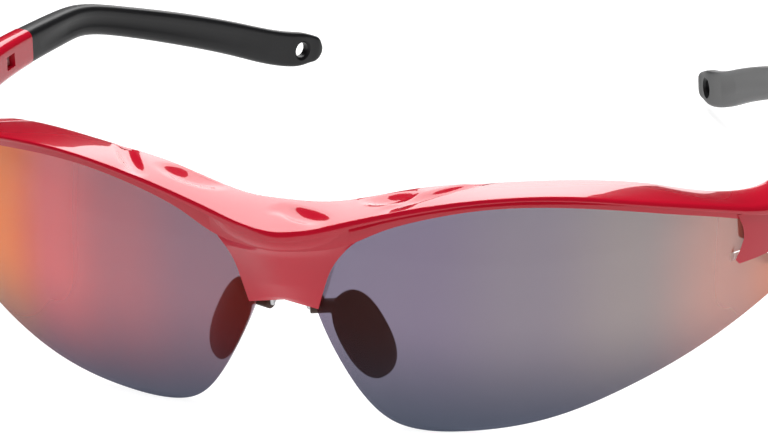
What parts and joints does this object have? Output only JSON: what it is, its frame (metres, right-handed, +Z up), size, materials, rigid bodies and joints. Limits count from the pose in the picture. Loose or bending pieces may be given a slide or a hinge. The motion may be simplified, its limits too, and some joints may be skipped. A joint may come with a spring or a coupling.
{
  "type": "sunglasses",
  "caption": "Wraparound half-rim sport sunglasses with mirrored spherical lenses, folding arms with pierced rubber ends, and adjustable rubber nose pads.",
  "frame": {"origin": "bottom centre of the whole object's box, with the arms open", "axes": "+X to the wearer's left, +Y back towards the ears, +Z up"},
  "size_m": [0.1428, 0.1414, 0.0396],
  "materials": {
    "frame_plastic": "glossy injection-moulded nylon",
    "lens_coated": "polycarbonate with a mirror coating",
    "tip_rubber": "matte",
    "pad_rubber": "matte",
    "wire_steel": "drawn wire",
    "screw_steel": "plain",
    "insert_brass": "plain",
    "core_metal": "plain"
  },
  "bodies": {
    "frame": {"frame_front": "frame_plastic", "lens_left": "lens_coated", "hinge_screw_left": "screw_steel", "hinge_insert_left": "insert_brass", "lens_right": "lens_coated", "hinge_screw_right": "screw_steel", "hinge_insert_right": "insert_brass"},
    "left_temple": {"temple_left": "frame_plastic", "tip_core_left": "core_metal", "temple_tip_left": "tip_rubber"},
    "right_temple": {"temple_right": "frame_plastic", "tip_core_right": "core_metal", "temple_tip_right": "tip_rubber"},
    "left_nose_pad": {"nose_pad_left": "pad_rubber", "nose_wire_left": "wire_steel"},
    "right_nose_pad": {"nose_pad_right": "pad_rubber", "nose_wire_right": "wire_steel"}
  },
  "joints": [
    {"name": "left_temple_fold", "type": "hinge", "parent": "frame", "child": "left_temple", "pos_m": [0.0674, -0.02467, 0.02974], "axis": [0, 0, 1], "range_deg": [0, 88]},
    {"name": "right_temple_fold", "type": "hinge", "parent": "frame", "child": "right_temple", "pos_m": [-0.0674, -0.02467, 0.02974], "axis": [0, 0, -1], "range_deg": [0, 78]},
    {"name": "left_pad_adjust", "type": "hinge", "parent": "frame", "child": "left_nose_pad", "pos_m": [0.0029, -0.06243, 0.02374], "axis": [0, -1, 0], "range_deg": [-5, 5]},
    {"name": "right_pad_adjust", "type": "hinge", "parent": "frame", "child": "right_nose_pad", "pos_m": [-0.0029, -0.06243, 0.02374], "axis": [0, 1, 0], "range_deg": [-5, 5]}
  ]
}
